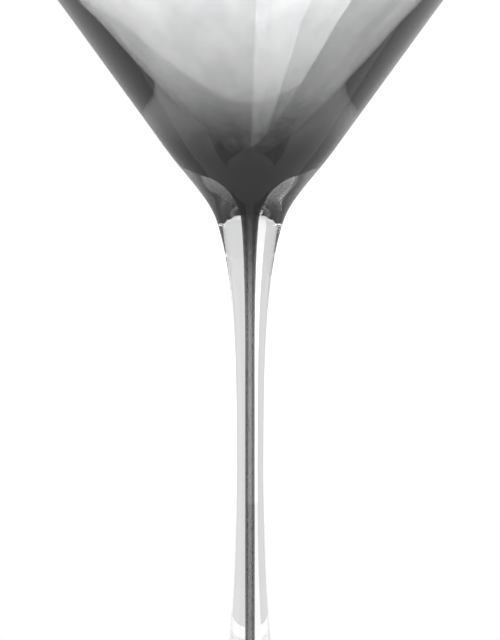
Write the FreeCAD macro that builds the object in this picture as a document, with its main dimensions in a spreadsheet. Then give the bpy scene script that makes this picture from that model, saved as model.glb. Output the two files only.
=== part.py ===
"""A hand-made martini glass: a V-shaped bowl of smoke-grey glass cased between two layers of clear
glass, on a drawn stem that carries a thread of the same smoke glass down its middle, on a round foot.

Every piece is a body of revolution about +Z. The origin is the centre of the foot's resting plane.
Millimetres throughout. "Wall" is a layer's thickness along the radius, and "slope" is how fast a
radius grows with height.
"""

import FreeCAD, Part

import os

import Sketcher

DIMENSIONS = {
    # Outside of the bowl: a straight cone, then a curve that runs into the stem.
    "height": 195.0,
    "coneTopRadius": 57.72,
    "coneFootHeight": 148.0,
    "coneFootRadius": 23.5,
    "rimWall": 1.36,
    "rimRise": 0.56,
    # Where the bowl meets the stem.
    "neckHeight": 129.0,
    "neckRadius": 9.78,
    "neckSlope": 0.35,
    "neckReach": 6.0,
    # The cavity: it narrows faster than the outside, so the wall thickens all the way down.
    "cavityBendHeight": 182.0,
    "cavityBendRadius": 43.8,
    "cavityBendReach": 21.0,
    "cavityFloorHeight": 145.2,
    "cavityFloorReach": 8.0,
    # The smoke layer: a film by the rim that deepens below the bend, to a funnel at the bottom.
    "smokeTopHeight": 191.0,
    "smokeTopWall": 0.1,
    "smokeBendWall": 0.2,
    "smokeBendReach": 23.6,
    "smokeBendSlope": 0.955,
    "funnelHeight": 147.9,
    "funnelRadius": 10.5,
    "funnelSlope": 1.67,
    "funnelUpperReach": 0.3,
    "funnelLowerReach": 3.6,
    "throatReach": 8.0,
    # The clear glass inside the smoke layer.
    "innerWall": 0.45,
    "innerBendReach": 21.0,
    "innerFunnelHeight": 144.4,
    "innerFunnelRadius": 1.6,
    "innerFunnelUpperReach": 6.3,
    "innerFunnelLowerReach": 0.8,
    "innerFunnelSlant": 0.1,
    # The smoke core inside the stem, and the clear heart inside the core.
    "coreTopRadius": 1.65,
    "coreTopSlope": 0.06,
    "coreRadius": 0.95,
    "coreTaperHeight": 96.0,
    "heartTopRadius": 0.5,
    "heartRadius": 0.45,
    # The stem.
    "waistHeight": 56.0,
    "waistRadius": 3.97,
    "upperFlareReach": 14.0,
    "upperWaistReach": 39.0,
    "lowerWaistReach": 17.0,
    "lowerFlareReach": 13.0,
    "lowerFlareSlope": 0.1,
    "stemFootHeight": 8.5,
    "stemFootRadius": 5.95,
    # The foot: a low dome with a rounded edge that rests on a flat ring.
    "footRadius": 38.0,
    "footEdgeHeight": 2.5,
    "footEdgeRound": 1.3,
    "footRingInnerRadius": 33.4,
    "footCrownReach": 3.6,
    "footApronRadius": 15.0,
    "footApronHeight": 3.4,
    "footHollowHeight": 2.2,
    "footHollowReach": 16.0,
}

# A cubic whose two handles rise equally above its level ends peaks at this share of their rise.
CUBIC_PEAK = 0.75

# A point is a (radius, height) pair of formulas in the names above. A curve is a cubic: its start,
# two handles and its end. Read backwards it is the same curve, so neighbouring pieces share it.
CONE_SLOPE = "( coneTopRadius - coneFootRadius ) / ( height - coneFootHeight )"
CAVITY_SLOPE = "( coneTopRadius - rimWall - cavityBendRadius ) / ( height - cavityBendHeight )"
RIM_HANDLE = f"rimRise / {CUBIC_PEAK}"

NECK = ("neckRadius", "neckHeight")
CONE_FOOT = ("coneFootRadius", "coneFootHeight")
BOWL_FLANK = (
    NECK,
    ("neckRadius + neckReach * neckSlope", "neckHeight + neckReach"),
    (f"coneFootRadius - neckReach * {CONE_SLOPE}", "coneFootHeight - neckReach"),
    CONE_FOOT,
)
RIM_OUTSIDE = f"coneTopRadius - rimRise * {CONE_SLOPE}"
RIM_INSIDE = f"coneTopRadius - rimWall - rimRise * {CAVITY_SLOPE}"
RIM = (
    (RIM_OUTSIDE, "height - rimRise"),
    (f"{RIM_OUTSIDE} + {RIM_HANDLE} * {CONE_SLOPE}", f"height - rimRise + {RIM_HANDLE}"),
    (f"{RIM_INSIDE} + {RIM_HANDLE} * {CAVITY_SLOPE}", f"height - rimRise + {RIM_HANDLE}"),
    (RIM_INSIDE, "height - rimRise"),
)

CAVITY_AT_SMOKE_TOP = f"coneTopRadius - rimWall - ( height - smokeTopHeight ) * {CAVITY_SLOPE}"
CAVITY_TOP = (CAVITY_AT_SMOKE_TOP, "smokeTopHeight")
CAVITY_BEND = ("cavityBendRadius", "cavityBendHeight")
CAVITY_FLOOR = ("0", "cavityFloorHeight")
CAVITY = (
    CAVITY_BEND,
    (f"cavityBendRadius - cavityBendReach * {CAVITY_SLOPE}", "cavityBendHeight - cavityBendReach"),
    ("cavityFloorReach", "cavityFloorHeight"),
    CAVITY_FLOOR,
)

FUNNEL = ("funnelRadius", "funnelHeight")
CORE_TOP = ("coreTopRadius", "neckHeight")
SMOKE_OUTSIDE_TOP = (CAVITY_AT_SMOKE_TOP + " + innerWall + smokeTopWall", "smokeTopHeight")
SMOKE_OUTSIDE_BEND = ("cavityBendRadius + innerWall + smokeBendWall", "cavityBendHeight")
SMOKE_OUTSIDE = (
    SMOKE_OUTSIDE_BEND,
    (SMOKE_OUTSIDE_BEND[0] + " - smokeBendReach * smokeBendSlope", "cavityBendHeight - smokeBendReach"),
    ("funnelRadius + funnelUpperReach * funnelSlope", "funnelHeight + funnelUpperReach"),
    FUNNEL,
)
SMOKE_THROAT = (
    FUNNEL,
    ("funnelRadius - funnelLowerReach * funnelSlope", "funnelHeight - funnelLowerReach"),
    ("coreTopRadius + throatReach * coreTopSlope", "neckHeight + throatReach"),
    CORE_TOP,
)

INNER_FUNNEL = ("innerFunnelRadius", "innerFunnelHeight")
HEART_TOP = ("heartTopRadius", "neckHeight")
SMOKE_INSIDE_TOP = (CAVITY_AT_SMOKE_TOP + " + innerWall", "smokeTopHeight")
SMOKE_INSIDE_BEND = ("cavityBendRadius + innerWall", "cavityBendHeight")
SMOKE_INSIDE = (
    SMOKE_INSIDE_BEND,
    (
        f"cavityBendRadius + innerWall - innerBendReach * {CAVITY_SLOPE}",
        "cavityBendHeight - innerBendReach",
    ),
    (
        "innerFunnelRadius + innerFunnelUpperReach",
        "innerFunnelHeight + innerFunnelUpperReach * innerFunnelSlant",
    ),
    INNER_FUNNEL,
)
HEART_THROAT = (
    INNER_FUNNEL,
    (
        "innerFunnelRadius - innerFunnelLowerReach",
        "innerFunnelHeight - innerFunnelLowerReach * innerFunnelSlant",
    ),
    ("heartTopRadius", "neckHeight + throatReach"),
    HEART_TOP,
)

STEM_END = ("stemFootRadius", "stemFootHeight")
WAIST = ("waistRadius", "waistHeight")
STEM_LOWER = (
    STEM_END,
    ("stemFootRadius - lowerFlareReach * lowerFlareSlope", "stemFootHeight + lowerFlareReach"),
    ("waistRadius", "waistHeight - lowerWaistReach"),
    WAIST,
)
STEM_UPPER = (
    WAIST,
    ("waistRadius", "waistHeight + upperWaistReach"),
    ("neckRadius - upperFlareReach * neckSlope", "neckHeight - upperFlareReach"),
    NECK,
)

CORE_END = ("coreRadius", "stemFootHeight")
CORE_TAPER = (
    CORE_TOP,
    ("coreTopRadius - throatReach * coreTopSlope", "neckHeight - throatReach"),
    ("coreRadius", "coreTaperHeight + throatReach"),
    ("coreRadius", "coreTaperHeight"),
)
HEART_END = ("heartRadius", "stemFootHeight")
HEART_TAPER = (
    HEART_TOP,
    ("heartTopRadius", "neckHeight - throatReach"),
    ("heartRadius", "coreTaperHeight + throatReach"),
    ("heartRadius", "coreTaperHeight"),
)

FOOT_RING_EDGE = "footRadius - footEdgeRound"
FOOT_EDGE_HANDLE = f"footRadius - footEdgeRound + footEdgeRound / {CUBIC_PEAK}"
FOOT_EDGE = (
    (FOOT_RING_EDGE, "0"),
    (FOOT_EDGE_HANDLE, "0"),
    (FOOT_EDGE_HANDLE, "footEdgeHeight"),
    (FOOT_RING_EDGE, "footEdgeHeight"),
)
FOOT_TOP = (
    (FOOT_RING_EDGE, "footEdgeHeight"),
    ("footApronRadius", "footApronHeight"),
    ("stemFootRadius + footCrownReach * lowerFlareSlope", "stemFootHeight - footCrownReach"),
    STEM_END,
)
FOOT_HOLLOW = (
    ("0", "footHollowHeight"),
    ("footHollowReach", "footHollowHeight"),
    ("footRingInnerRadius - footEdgeRound", "0"),
    ("footRingInnerRadius", "0"),
)


def fill_sheet(doc):
    sheet = doc.addObject("Spreadsheet::Sheet", "Dimensions")
    for row, (alias, value) in enumerate(DIMENSIONS.items(), start=1):
        sheet.set(f"A{row}", alias)
        sheet.set(f"B{row}", str(value))
        sheet.setAlias(f"B{row}", alias)
    doc.recompute()


def bound(formula):
    """A formula in dimension names, as one that reads the sheet."""
    words = formula.split()
    return " ".join("Dimensions." + word if word in DIMENSIONS else word for word in words)


class Outline:
    """A closed outline in a new body's XZ plane: x is the radius, y the height, and the sheet holds
    every corner and every handle."""

    def __init__(self, doc, name, start):
        self.body = doc.addObject("PartDesign::Body", name)
        self.body.Label = name
        self.sketch = self.body.newObject("Sketcher::SketchObject", name + "_outline")
        plane = next(f for f in self.body.Origin.OriginFeatures if f.Role == "XZ_Plane")
        self.sketch.AttachmentSupport = (plane, [""])
        self.sketch.MapMode = "FlatFace"
        self.start = self.end = start
        self.first = self.last = None

    def constrain(self, *values):
        return self.sketch.addConstraint(Sketcher.Constraint(*values))

    def place(self, point):
        radius, height = (float(self.sketch.evalExpression(bound(text))) for text in point)
        return FreeCAD.Vector(radius, height, 0)

    def hold(self, geometry, position, point):
        """Ties one point of the sketch to its two formulas."""
        place = self.place(point)
        rows = (("DistanceX", point[0], place.x, -2), ("DistanceY", point[1], place.y, -1))
        for kind, formula, value, axis in rows:
            if formula == "0":
                self.constrain("PointOnObject", geometry, position, axis)
            else:
                index = self.constrain(kind, -1, 1, geometry, position, value)
                self.sketch.setExpression(f"Constraints[{index}]", bound(formula))

    def join(self, geometry, point):
        """Ties a new edge's start to the edge before it, and its end to a point."""
        if self.last is None:
            self.first = geometry
            self.hold(geometry, 1, self.start)
        else:
            self.constrain("Coincident", self.last, 2, geometry, 1)
        if point == self.start:
            self.constrain("Coincident", geometry, 2, self.first, 1)
        else:
            self.hold(geometry, 2, point)
        self.last = geometry
        self.end = point

    def line(self, point):
        segment = Part.LineSegment(self.place(self.end), self.place(point))
        self.join(self.sketch.addGeometry(segment, False), point)

    def curve(self, points):
        """A cubic from the outline's end, with its handles shown in the sketch as poles."""
        cubic = Part.BezierCurve()
        cubic.setPoles([self.place(point) for point in points])
        spline = self.sketch.addGeometry(cubic.toBSpline(), False)
        first_pole = self.sketch.GeometryCount
        self.sketch.exposeInternalGeometry(spline)
        self.hold(first_pole + 1, 3, points[1])
        self.hold(first_pole + 2, 3, points[2])
        self.join(spline, points[3])

    def revolve(self):
        """Closes the outline and turns it about the Z axis."""
        if self.end != self.start:
            self.line(self.start)
        turn = self.body.newObject("PartDesign::Revolution", self.body.Name + "_turn")
        turn.Profile = self.sketch
        turn.ReferenceAxis = (self.sketch, ["V_Axis"])
        turn.Angle = 360.0
        return self.body


def make_bowl_outer(doc):
    """The clear outer glass of the bowl, with the whole of the rim."""
    outline = Outline(doc, "bowl_outer_glass", CORE_TOP)
    outline.line(NECK)
    outline.curve(BOWL_FLANK)
    outline.line(RIM[0])
    outline.curve(RIM)
    outline.line(CAVITY_TOP)
    outline.line(SMOKE_OUTSIDE_TOP)
    outline.line(SMOKE_OUTSIDE_BEND)
    outline.curve(SMOKE_OUTSIDE)
    outline.curve(SMOKE_THROAT)
    return outline.revolve()


def make_bowl_smoke(doc):
    """The smoke glass between the two clear layers, down to the neck."""
    outline = Outline(doc, "bowl_smoke_layer", HEART_TOP)
    outline.line(CORE_TOP)
    outline.curve(SMOKE_THROAT[::-1])
    outline.curve(SMOKE_OUTSIDE[::-1])
    outline.line(SMOKE_OUTSIDE_TOP)
    outline.line(SMOKE_INSIDE_TOP)
    outline.line(SMOKE_INSIDE_BEND)
    outline.curve(SMOKE_INSIDE)
    outline.curve(HEART_THROAT)
    return outline.revolve()


def make_bowl_inner(doc):
    """The clear inner glass, which lines the cavity and runs down into the stem's heart."""
    outline = Outline(doc, "bowl_inner_glass", ("0", "neckHeight"))
    outline.line(HEART_TOP)
    outline.curve(HEART_THROAT[::-1])
    outline.curve(SMOKE_INSIDE[::-1])
    outline.line(SMOKE_INSIDE_TOP)
    outline.line(CAVITY_TOP)
    outline.line(CAVITY_BEND)
    outline.curve(CAVITY)
    return outline.revolve()


def make_stem(doc):
    """The clear stem, drawn thin at its waist, round the smoke core."""
    outline = Outline(doc, "stem", CORE_END)
    outline.line(STEM_END)
    outline.curve(STEM_LOWER)
    outline.curve(STEM_UPPER)
    outline.line(CORE_TOP)
    outline.curve(CORE_TAPER)
    return outline.revolve()


def make_core(doc):
    """The tube of smoke glass that runs down the middle of the stem."""
    outline = Outline(doc, "stem_smoke_core", HEART_END)
    outline.line(CORE_END)
    outline.line(CORE_TAPER[-1])
    outline.curve(CORE_TAPER[::-1])
    outline.line(HEART_TOP)
    outline.curve(HEART_TAPER)
    return outline.revolve()


def make_heart(doc):
    """The clear thread inside the smoke core."""
    outline = Outline(doc, "stem_clear_heart", ("0", "stemFootHeight"))
    outline.line(HEART_END)
    outline.line(HEART_TAPER[-1])
    outline.curve(HEART_TAPER[::-1])
    outline.line(("0", "neckHeight"))
    return outline.revolve()


def make_foot(doc):
    """The round foot: a low dome, hollow underneath, that stands on a flat ring."""
    outline = Outline(doc, "foot", FOOT_HOLLOW[0])
    outline.curve(FOOT_HOLLOW)
    outline.line(FOOT_EDGE[0])
    outline.curve(FOOT_EDGE)
    outline.curve(FOOT_TOP)
    outline.line(("0", "stemFootHeight"))
    return outline.revolve()


def check(doc, pieces):
    """Stops before anything is written if a feature failed or a piece isn't one sound solid."""
    for item in doc.Objects:
        if "Invalid" in item.State or "Error" in item.State:
            raise RuntimeError(f"{item.Label} failed: {item.State}")
    for piece in pieces:
        shape = piece.Shape
        if shape.isNull() or not shape.isValid() or len(shape.Solids) != 1:
            raise RuntimeError(f"{piece.Label} isn't one valid solid")


def main():
    doc = FreeCAD.newDocument("martini_glass")
    fill_sheet(doc)
    makers = (
        make_bowl_outer,
        make_bowl_smoke,
        make_bowl_inner,
        make_stem,
        make_core,
        make_heart,
        make_foot,
    )
    pieces = [make(doc) for make in makers]
    for piece in pieces:
        piece.Placement = FreeCAD.Placement()
    doc.recompute()
    check(doc, pieces)
    os.makedirs("parts", exist_ok=True)
    for piece in pieces:
        piece.Shape.exportStep(f"parts/{piece.Label}.step")
        box = piece.Shape.BoundBox
        print(
            f"{piece.Label}: {piece.Shape.Volume:.0f} mm3, radius {box.XMax:.2f},"
            f" height {box.ZMin:.2f} to {box.ZMax:.2f}"
        )


main()
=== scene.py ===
"""The looks of a hand-made martini glass: a bowl of smoke glass cased in clear, on a drawn stem with
a smoke core, on a round foot.

Hot glass that is fused to hot glass keeps no surface where the two meet. So a piece has air faces,
which bend light, and weld faces, which let it straight through, and the smoke glass, which has no
air faces at all, only takes light away. Every piece is turned afresh, and finely, from the outline
of its CAD node, because light bends smoothly only in a smooth wall.
"""

import math

import bmesh
import bpy
import numpy as np
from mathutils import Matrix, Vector


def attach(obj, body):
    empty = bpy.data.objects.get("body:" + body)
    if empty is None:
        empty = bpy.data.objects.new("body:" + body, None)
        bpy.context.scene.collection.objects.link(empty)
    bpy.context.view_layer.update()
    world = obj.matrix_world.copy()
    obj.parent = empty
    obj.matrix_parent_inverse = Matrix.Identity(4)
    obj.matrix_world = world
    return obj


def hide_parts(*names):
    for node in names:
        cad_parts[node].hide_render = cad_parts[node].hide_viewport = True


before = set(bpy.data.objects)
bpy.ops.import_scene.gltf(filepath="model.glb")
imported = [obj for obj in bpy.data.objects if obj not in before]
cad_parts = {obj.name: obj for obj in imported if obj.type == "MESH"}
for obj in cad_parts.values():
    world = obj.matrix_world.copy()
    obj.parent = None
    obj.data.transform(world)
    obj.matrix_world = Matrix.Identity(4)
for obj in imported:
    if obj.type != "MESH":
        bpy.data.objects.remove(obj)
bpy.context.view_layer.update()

MM = 0.001
BODY = "root"
CLEAR_NODES = ("bowl_outer_glass", "bowl_inner_glass", "stem", "stem_clear_heart", "foot")
SMOKE_NODES = ("bowl_smoke_layer", "stem_smoke_core")

# How the pieces are turned.
TURN_STEPS = 192
STEP_LENGTH = 0.9 * MM
# An even sample this close to a point of the outline is left out.
CLOSEST_SAMPLE = STEP_LENGTH / 3
# A span longer than this is filled in along its straight line. It is meant for the straight sides of
# the stem's core and heart. One slightly curved span of the bowl, 14.8 mm long, is filled in too.
LONGEST_SPAN = 14.0 * MM
SAME_POINT = 0.002 * MM
ON_NEIGHBOUR = 0.045 * MM
CORNER = math.radians(25)
# Each weld face stands back this far from its own curve, to keep it off the face it is fused to.
# The two curves pass through different points and differ by up to 0.016 mm, so the faces may still
# touch in places.
WELD_GAP = 0.002 * MM
# The least sine of the turn at a point where its two sides stand back each by their own gap.
CLEAR_TURN = 0.3
# Keeps the length of a span that is a single point above zero.
LEAST_SQUARE = 1e-18

# The glass. Streaks and waves are soft noise, given in cycles per metre along X, Y and Z.
GLASS_IOR = 1.5
STRAIGHT_IOR = 1.0
SMOKE_DENSITY = 1500.0
CLEAR_TINTS = ((0.975, 0.98, 0.982), (0.995, 0.997, 0.998))
SMOKE_TINTS = ((0.93, 0.93, 0.935), (1.0, 1.0, 1.0))
WELD_TINTS = ((0.998, 0.998, 0.998), (1.0, 1.0, 1.0))
TINT_STOPS = (0.35, 0.65)
CLEAR_STREAKS = (60, 60, 25)
SMOKE_STREAKS = (110, 110, 45)
WELD_STREAKS = (40, 40, 20)
STREAK_DETAIL = 2.0
SMOKE_STREAK_DETAIL = 3.0
BOWL_WAVES = (45, 45, 28)
DRAWN_WAVES = (160, 160, 14)
WAVE_DEPTH = 0.01 * MM

# The camera: a long lens, level with the lower bowl, that looks a little down.
CAMERA_DISTANCE = 1.5
CAMERA_ELEVATION = math.radians(2)
CAMERA_AIM = (0.0, 0.0, 0.1003)
VIEW_WIDTH = 0.1426
SENSOR_WIDTH = 36.0
CAMERA_REACH = 50.0

# How many times light may meet glass on its way.
MOST_BOUNCES = 48
MOST_GLOSSY_BOUNCES = 32
MOST_TRANSPARENT_BOUNCES = 32

# The studio. A rise is the sine of the angle above the horizon.
SKY_BY_RISE = ((0.0, 1.33), (0.12, 1.33), (0.3, 1.0), (0.8, 0.85), (0.92, 0.2))
# The floor's painted light: (distance from the glass, brightness of its glow), brighter far from the
# glass.
FLOOR_BY_DISTANCE = ((0.0, 1.0), (0.57, 1.0), (0.6, 1.33))
FLOOR_SIZE = (16.0, 16.0)
FLOOR_HEIGHT = -0.1 * MM
SOFT_BOX_PLACE = (-0.27, 0.0, 1.35)
SOFT_BOX_SIZE = (0.44, 0.8)
SOFT_BOX_FACING = (0.0, 0.0, -1.0)
SOFT_BOX_BRIGHTNESS = 4.0
# Grey cards round the glass, with gaps between, as a glass photographer sets them, which draw the
# edges of the clear glass: (first bearing, last bearing, brightness), with bearings in degrees from
# straight behind, to the right. They lean away from the glass.
CARDS = ((9, 60, 0.72), (112, 165, 0.7), (-70, -22, 0.68), (-165, -112, 0.7))
CARD_FOOT_DISTANCE = 0.07
CARD_TOP_DISTANCE = 1.1
CARD_TOP_HEIGHT = 0.8
CARD_STEPS = 12


# ---------------------------------------------------------------- outlines

def seam(mesh):
    """The mesh's points at y = 0 on the +X side, and which of them an edge links."""
    points, index = [], {}
    for vertex in mesh.vertices:
        x, y, z = vertex.co
        if abs(y) > SAME_POINT or x < -SAME_POINT:
            continue
        for i, (radius, height) in enumerate(points):
            if abs(radius - x) < SAME_POINT and abs(height - z) < SAME_POINT:
                index[vertex.index] = i
                break
        else:
            index[vertex.index] = len(points)
            points.append((max(x, 0.0), z))
    links = [set() for _ in points]
    for edge in mesh.edges:
        a, b = (index.get(v) for v in edge.vertices)
        if a is not None and b is not None and a != b:
            links[a].add(b)
            links[b].add(a)
    return points, links


def outline(mesh):
    """The piece's outline as one ordered list of (radius, height), and whether it is a loop. A flat
    face has no edge on the seam, so two loose ends of one height are joined, and a single loose end
    is joined to the axis."""
    points, links = seam(mesh)
    for i in [i for i in range(len(points)) if len(links[i]) == 1]:
        if len(links[i]) > 1 or points[i][0] < SAME_POINT:
            continue
        level = [
            j for j in range(len(points))
            if j != i and len(links[j]) == 1 and abs(points[j][1] - points[i][1]) < SAME_POINT
        ]
        if not level:
            level = [len(points)]
            points.append((0.0, points[i][1]))
            links.append(set())
        links[i].add(level[0])
        links[level[0]].add(i)
    ends = [i for i in range(len(points)) if len(links[i]) == 1]
    order = [ends[0] if ends else 0]
    while True:
        onward = [j for j in links[order[-1]] if j not in order]
        if not onward:
            break
        order.append(onward[0])
    return np.array([points[i] for i in order]), not ends


def turn_angle(before, here, after):
    """The angle by which the line turns at a point, in radians."""
    u, v = here - before, after - here
    return abs(math.atan2(u[0] * v[1] - u[1] * v[0], u @ v))


def runs(points, closed):
    """The outline cut at its corners. A loop starts at a corner, and ends with it."""
    count = len(points)
    if closed:
        corners = [
            i for i in range(count)
            if turn_angle(points[i - 1], points[i], points[(i + 1) % count]) > CORNER
        ]
        points = np.roll(points, -corners[0], axis=0)
        points = np.vstack([points, points[:1]])
    inner = range(1, len(points) - 1)
    cuts = [i for i in inner if turn_angle(points[i - 1], points[i], points[i + 1]) > CORNER]
    cuts = [0] + cuts + [len(points) - 1]
    return [points[a:b + 1] for a, b in zip(cuts, cuts[1:])]


def spline(points):
    """The run as a natural cubic spline through its points, sampled at them and evenly between."""
    filled, given = [points[0]], [0]
    for a, b in zip(points, points[1:]):
        parts = max(1, math.ceil(np.hypot(*(b - a)) / LONGEST_SPAN))
        filled += [a + (b - a) * k / parts for k in range(1, parts + 1)]
        given.append(len(filled) - 1)
    knots = np.array(filled)
    gaps = np.hypot(*np.diff(knots, axis=0).T)
    along = np.concatenate([[0], np.cumsum(gaps)])
    count = len(knots)
    even = np.linspace(0, along[-1], max(2, math.ceil(along[-1] / STEP_LENGTH) + 1))
    apart = np.abs(even[:, None] - along[given]).min(axis=1) > CLOSEST_SAMPLE
    samples = np.sort(np.concatenate([even[apart], along[given]]))
    if count < 3:
        return knots[0] + (knots[-1] - knots[0]) * (samples / along[-1])[:, None]
    matrix = np.zeros((count, count))
    rates = np.zeros((count, 2))
    matrix[0, 0] = matrix[-1, -1] = 1
    for i in range(1, count - 1):
        matrix[i, i - 1:i + 2] = gaps[i - 1], 2 * (gaps[i - 1] + gaps[i]), gaps[i]
        slope_after = (knots[i + 1] - knots[i]) / gaps[i]
        slope_before = (knots[i] - knots[i - 1]) / gaps[i - 1]
        rates[i] = 6 * (slope_after - slope_before)
    bend = np.linalg.solve(matrix, rates)
    span = np.clip(np.searchsorted(along, samples, side="right") - 1, 0, count - 2)
    width = gaps[span][:, None]
    left = (along[span + 1] - samples)[:, None]
    right = (samples - along[span])[:, None]
    curve = (bend[span] * left ** 3 + bend[span + 1] * right ** 3) / (6 * width)
    curve += (knots[span] / width - bend[span] * width / 6) * left
    curve += (knots[span + 1] / width - bend[span + 1] * width / 6) * right
    curve[0], curve[-1] = points[0], points[-1]
    return curve


def distance(point, points):
    """How far a point is from a line of points."""
    a, b = points[:-1], points[1:]
    step = b - a
    square = np.maximum((step ** 2).sum(1), LEAST_SQUARE)
    share = np.clip(((point - a) * step).sum(1) / square, 0, 1)
    return np.hypot(*(a + step * share[:, None] - point).T).min()


def is_weld(run, name, all_runs):
    """Whether the middle of the run lies on another piece."""
    middle = run[len(run) // 2] if len(run) > 2 else run.mean(axis=0)
    others = [r for other, rows in all_runs.items() if other != name for r in rows]
    return min(distance(middle, r) for r in others) < ON_NEIGHBOUR


def stand_back(points, welds, closed):
    """Moves the weld stretches a hair into the piece, and leaves the air stretches in place.
    welds[i] tells of the stretch from point i to the next."""
    count = len(points)
    ahead = np.roll(points, -1, axis=0)
    area = (points[:, 0] * ahead[:, 1] - ahead[:, 0] * points[:, 1]).sum()
    step = ahead - points
    inward = np.stack([-step[:, 1], step[:, 0]], axis=1) / np.hypot(*step.T)[:, None]
    inward *= math.copysign(1, area)
    moved = points.copy()
    for i in range(count):
        a, b = inward[i - 1], inward[i]
        gap_a, gap_b = WELD_GAP * welds[i - 1], WELD_GAP * welds[i]
        cross = a[0] * b[1] - a[1] * b[0]
        if abs(cross) > CLEAR_TURN:
            moved[i] += (gap_a * np.array((b[1], -b[0])) + gap_b * np.array((-a[1], a[0]))) / cross
        else:
            moved[i] += max(gap_a, gap_b) * (a + b) / 2
    if not closed:
        moved[0, 0] = moved[-1, 0] = 0
    return moved


# ---------------------------------------------------------------- turning

def turn(name, points, welds, closed, materials):
    """The piece turned about +Z from its outline."""
    mesh_data = bmesh.new()
    uv = mesh_data.loops.layers.uv.new("turned")
    angles = [2 * math.pi * k / TURN_STEPS for k in range(TURN_STEPS)]
    rings = []
    for radius, height in points:
        if radius == 0:
            rings.append([mesh_data.verts.new((0, 0, height))] * TURN_STEPS)
        else:
            rings.append([
                mesh_data.verts.new((radius * math.cos(a), radius * math.sin(a), height))
                for a in angles
            ])
    steps = len(rings) if closed else len(rings) - 1
    for i in range(steps):
        low, high = rings[i], rings[(i + 1) % len(rings)]
        for k in range(TURN_STEPS):
            n = (k + 1) % TURN_STEPS
            corners = (
                (low[k], k, i), (low[n], k + 1, i), (high[n], k + 1, i + 1), (high[k], k, i + 1),
            )
            seen = {}
            for vertex, column, row in corners:
                seen.setdefault(vertex, (column, row))
            face = mesh_data.faces.new(list(seen))
            face.material_index = int(welds[i])
            face.smooth = True
            for loop in face.loops:
                column, row = seen[loop.vert]
                loop[uv].uv = (column / TURN_STEPS, row / steps)
    bmesh.ops.recalc_face_normals(mesh_data, faces=mesh_data.faces)
    mesh = bpy.data.meshes.new(name)
    mesh_data.to_mesh(mesh)
    mesh_data.free()
    for material in materials:
        mesh.materials.append(material)
    mesh.set_sharp_from_angle(angle=CORNER)
    piece = bpy.data.objects.new(name, mesh)
    bpy.context.scene.collection.objects.link(piece)
    return piece


# ---------------------------------------------------------------- materials

def new_material(name):
    material = bpy.data.materials.new(name)
    material.use_nodes = True
    nodes = material.node_tree.nodes
    shader = nodes["Principled BSDF"]
    shader.inputs["Roughness"].default_value = 0
    shader.inputs["Transmission Weight"].default_value = 1
    return material, nodes, material.node_tree.links, shader


def streaks(nodes, links, scale, detail=STREAK_DETAIL):
    """Soft noise in the piece's own space, stretched by scale = (x, y, z) in cycles per metre."""
    place = nodes.new("ShaderNodeTexCoord")
    stretch = nodes.new("ShaderNodeMapping")
    stretch.inputs["Scale"].default_value = scale
    noise = nodes.new("ShaderNodeTexNoise")
    noise.inputs["Scale"].default_value = 1
    noise.inputs["Detail"].default_value = detail
    links.new(place.outputs["Object"], stretch.inputs["Vector"])
    links.new(stretch.outputs["Vector"], noise.inputs["Vector"])
    return noise.outputs["Fac"]


def tint(nodes, links, shader, factor, tints):
    """Varies the base colour between two tints."""
    ramp = nodes.new("ShaderNodeValToRGB")
    for element, position, colour in zip(ramp.color_ramp.elements, TINT_STOPS, tints):
        element.position = position
        element.color = (*colour, 1)
    links.new(factor, ramp.inputs["Fac"])
    links.new(ramp.outputs["Color"], shader.inputs["Base Color"])


def wave(nodes, links, shader, height):
    """Tilts the surface as if it rose and fell by the depth of a wave."""
    bump = nodes.new("ShaderNodeBump")
    bump.inputs["Strength"].default_value = 1
    bump.inputs["Distance"].default_value = WAVE_DEPTH
    links.new(height, bump.inputs["Height"])
    links.new(bump.outputs["Normal"], shader.inputs["Normal"])


def clear_glass(name, waves):
    """Fire-polished clear glass, with the long faint waves of hand work."""
    material, nodes, links, shader = new_material(name)
    shader.inputs["IOR"].default_value = GLASS_IOR
    tint(nodes, links, shader, streaks(nodes, links, CLEAR_STREAKS), CLEAR_TINTS)
    wave(nodes, links, shader, streaks(nodes, links, waves))
    return material


def weld_glass():
    """The inside of a weld: no surface, so light keeps its way."""
    material, nodes, links, shader = new_material("fused_interface")
    shader.inputs["IOR"].default_value = STRAIGHT_IOR
    tint(nodes, links, shader, streaks(nodes, links, WELD_STREAKS), WELD_TINTS)
    return material


def smoke_glass():
    """Smoke-grey glass: it takes light away by its thickness, with faint streaks of its making."""
    material, nodes, links, shader = new_material("smoke_glass")
    shader.inputs["IOR"].default_value = STRAIGHT_IOR
    factor = streaks(nodes, links, SMOKE_STREAKS, SMOKE_STREAK_DETAIL)
    tint(nodes, links, shader, factor, SMOKE_TINTS)
    absorption = nodes.new("ShaderNodeVolumeAbsorption")
    absorption.inputs["Color"].default_value = (0, 0, 0, 1)
    absorption.inputs["Density"].default_value = SMOKE_DENSITY
    links.new(absorption.outputs["Volume"], nodes["Material Output"].inputs["Volume"])
    return material


# ---------------------------------------------------------------- glass

def make_glass():
    bowl = clear_glass("clear_glass_bowl", BOWL_WAVES)
    drawn = clear_glass("clear_glass_drawn", DRAWN_WAVES)
    weld = weld_glass()
    smoke = smoke_glass()
    skins = {name: (smoke, smoke) for name in SMOKE_NODES}
    skins.update({name: (bowl, weld) for name in CLEAR_NODES if name.startswith("bowl")})
    skins.update({name: (drawn, weld) for name in CLEAR_NODES if not name.startswith("bowl")})

    loops = {name: outline(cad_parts[name].data) for name in skins}
    all_runs = {name: runs(*loop) for name, loop in loops.items()}
    for name, materials in skins.items():
        closed = loops[name][1]
        points, welds = [], []
        for run in all_runs[name]:
            curve = spline(run)
            points += list(curve[:-1])
            welds += [is_weld(run, name, all_runs)] * (len(curve) - 1)
        if not closed:
            points.append(all_runs[name][-1][-1])
            welds.append(False)
        points = stand_back(np.array(points), welds, closed)
        piece = turn(name + "_turned", points, welds, closed, materials)
        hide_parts(name)
        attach(piece, BODY)


# ---------------------------------------------------------------- studio

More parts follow.
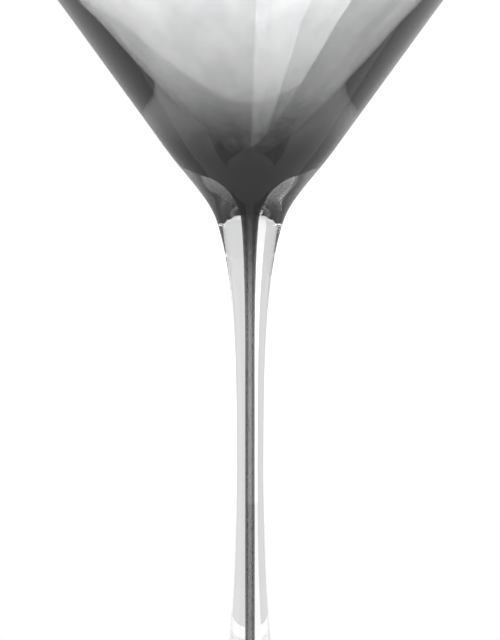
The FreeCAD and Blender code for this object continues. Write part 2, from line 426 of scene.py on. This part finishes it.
def glow(name, brightness):
    """A material that only shines, with its emission node."""
    material = bpy.data.materials.new(name)
    material.use_nodes = True
    nodes, links = material.node_tree.nodes, material.node_tree.links
    nodes.clear()
    emission = nodes.new("ShaderNodeEmission")
    emission.inputs["Strength"].default_value = brightness
    output = nodes.new("ShaderNodeOutputMaterial")
    links.new(emission.outputs[0], output.inputs["Surface"])
    return material, emission


def panel(name, centre, size, facing, material, seen=True):
    """A flat panel of the studio. One that is not seen shows only in the glass."""
    half_width, half_height = size[0] / 2, size[1] / 2
    corners = [(-1, -1), (1, -1), (1, 1), (-1, 1)]
    mesh = bpy.data.meshes.new(name)
    mesh.from_pydata([(x * half_width, y * half_height, 0) for x, y in corners], [], [(0, 1, 2, 3)])
    mesh.materials.append(material)
    thing = bpy.data.objects.new(name, mesh)
    thing.location = centre
    thing.rotation_mode = "QUATERNION"
    thing.rotation_quaternion = Vector(facing).to_track_quat("Z", "Y")
    bpy.context.scene.collection.objects.link(thing)
    thing.visible_camera = seen


def shade(nodes, links, value, stops):
    """A smooth run of brightness through (value, brightness) stops, as a chain of map ranges."""
    total = None
    for (low, first), (high, second) in zip(stops, stops[1:]):
        step = nodes.new("ShaderNodeMapRange")
        step.interpolation_type = "SMOOTHSTEP"
        step.inputs["From Min"].default_value = low
        step.inputs["From Max"].default_value = high
        step.inputs["To Min"].default_value = first if total is None else 0.0
        step.inputs["To Max"].default_value = second if total is None else second - first
        links.new(value, step.inputs["Value"])
        if total is None:
            total = step.outputs[0]
            continue
        join = nodes.new("ShaderNodeMath")
        join.operation = "ADD"
        links.new(total, join.inputs[0])
        links.new(step.outputs[0], join.inputs[1])
        total = join.outputs[0]
    return total


def make_sky():
    """White along the horizon, and dimmer overhead."""
    world = bpy.data.worlds.new("studio")
    world.use_nodes = True
    bpy.context.scene.world = world
    nodes, links = world.node_tree.nodes, world.node_tree.links
    place = nodes.new("ShaderNodeTexCoord")
    split = nodes.new("ShaderNodeSeparateXYZ")
    links.new(place.outputs["Generated"], split.inputs[0])
    brightness = shade(nodes, links, split.outputs["Z"], SKY_BY_RISE)
    background = nodes["Background"]
    background.inputs["Color"].default_value = (1, 1, 1, 1)
    links.new(brightness, background.inputs["Strength"])


def make_floor():
    """A pale floor that shines by its own emission, with painted light that makes it a little
    brighter away from the glass.
    """
    material, emission = glow("pale_floor", 1.0)
    nodes, links = material.node_tree.nodes, material.node_tree.links
    place = nodes.new("ShaderNodeTexCoord")
    length = nodes.new("ShaderNodeVectorMath")
    length.operation = "LENGTH"
    links.new(place.outputs["Object"], length.inputs[0])
    brightness = shade(nodes, links, length.outputs["Value"], FLOOR_BY_DISTANCE)
    links.new(brightness, emission.inputs["Strength"])
    panel("floor", (0, 0, FLOOR_HEIGHT), FLOOR_SIZE, (0, 0, 1), material)


def make_card(first, last, brightness):
    """A curved card that leans back from its foot, and shows only in the glass."""
    vertices = []
    for k in range(CARD_STEPS + 1):
        bearing = math.radians(first + (last - first) * k / CARD_STEPS)
        for distance_out, height in ((CARD_FOOT_DISTANCE, 0), (CARD_TOP_DISTANCE, CARD_TOP_HEIGHT)):
            x, y = distance_out * math.sin(bearing), distance_out * math.cos(bearing)
            vertices.append((x, y, height))
    faces = [(2 * k, 2 * k + 2, 2 * k + 3, 2 * k + 1) for k in range(CARD_STEPS)]
    mesh = bpy.data.meshes.new("grey_card")
    mesh.from_pydata(vertices, [], faces)
    mesh.materials.append(glow("grey_card", brightness)[0])
    card = bpy.data.objects.new("grey_card", mesh)
    bpy.context.scene.collection.objects.link(card)
    card.visible_camera = False


def make_studio():
    make_sky()
    make_floor()
    for card in CARDS:
        make_card(*card)
    soft_box = glow("soft_box", SOFT_BOX_BRIGHTNESS)[0]
    panel("soft_box", SOFT_BOX_PLACE, SOFT_BOX_SIZE, SOFT_BOX_FACING, soft_box, seen=False)


def make_camera():
    camera = bpy.data.cameras.new("camera")
    holder = bpy.data.objects.new("camera", camera)
    bpy.context.scene.collection.objects.link(holder)
    back = Vector((0, -math.cos(CAMERA_ELEVATION), math.sin(CAMERA_ELEVATION)))
    holder.location = Vector(CAMERA_AIM) + back * CAMERA_DISTANCE
    holder.rotation_mode = "QUATERNION"
    holder.rotation_quaternion = (-back).to_track_quat("-Z", "Y")
    camera.sensor_fit = "HORIZONTAL"
    camera.sensor_width = SENSOR_WIDTH
    camera.lens = SENSOR_WIDTH * CAMERA_DISTANCE / VIEW_WIDTH
    camera.clip_end = CAMERA_REACH
    bpy.context.scene.camera = holder


def set_light_paths():
    scene = bpy.context.scene
    scene.cycles.max_bounces = MOST_BOUNCES
    scene.cycles.transmission_bounces = MOST_BOUNCES
    scene.cycles.glossy_bounces = MOST_GLOSSY_BOUNCES
    scene.cycles.transparent_max_bounces = MOST_TRANSPARENT_BOUNCES
    scene.cycles.caustics_reflective = True
    scene.cycles.caustics_refractive = True
    scene.view_settings.view_transform = "Standard"


make_camera()
make_glass()
make_studio()
set_light_paths()
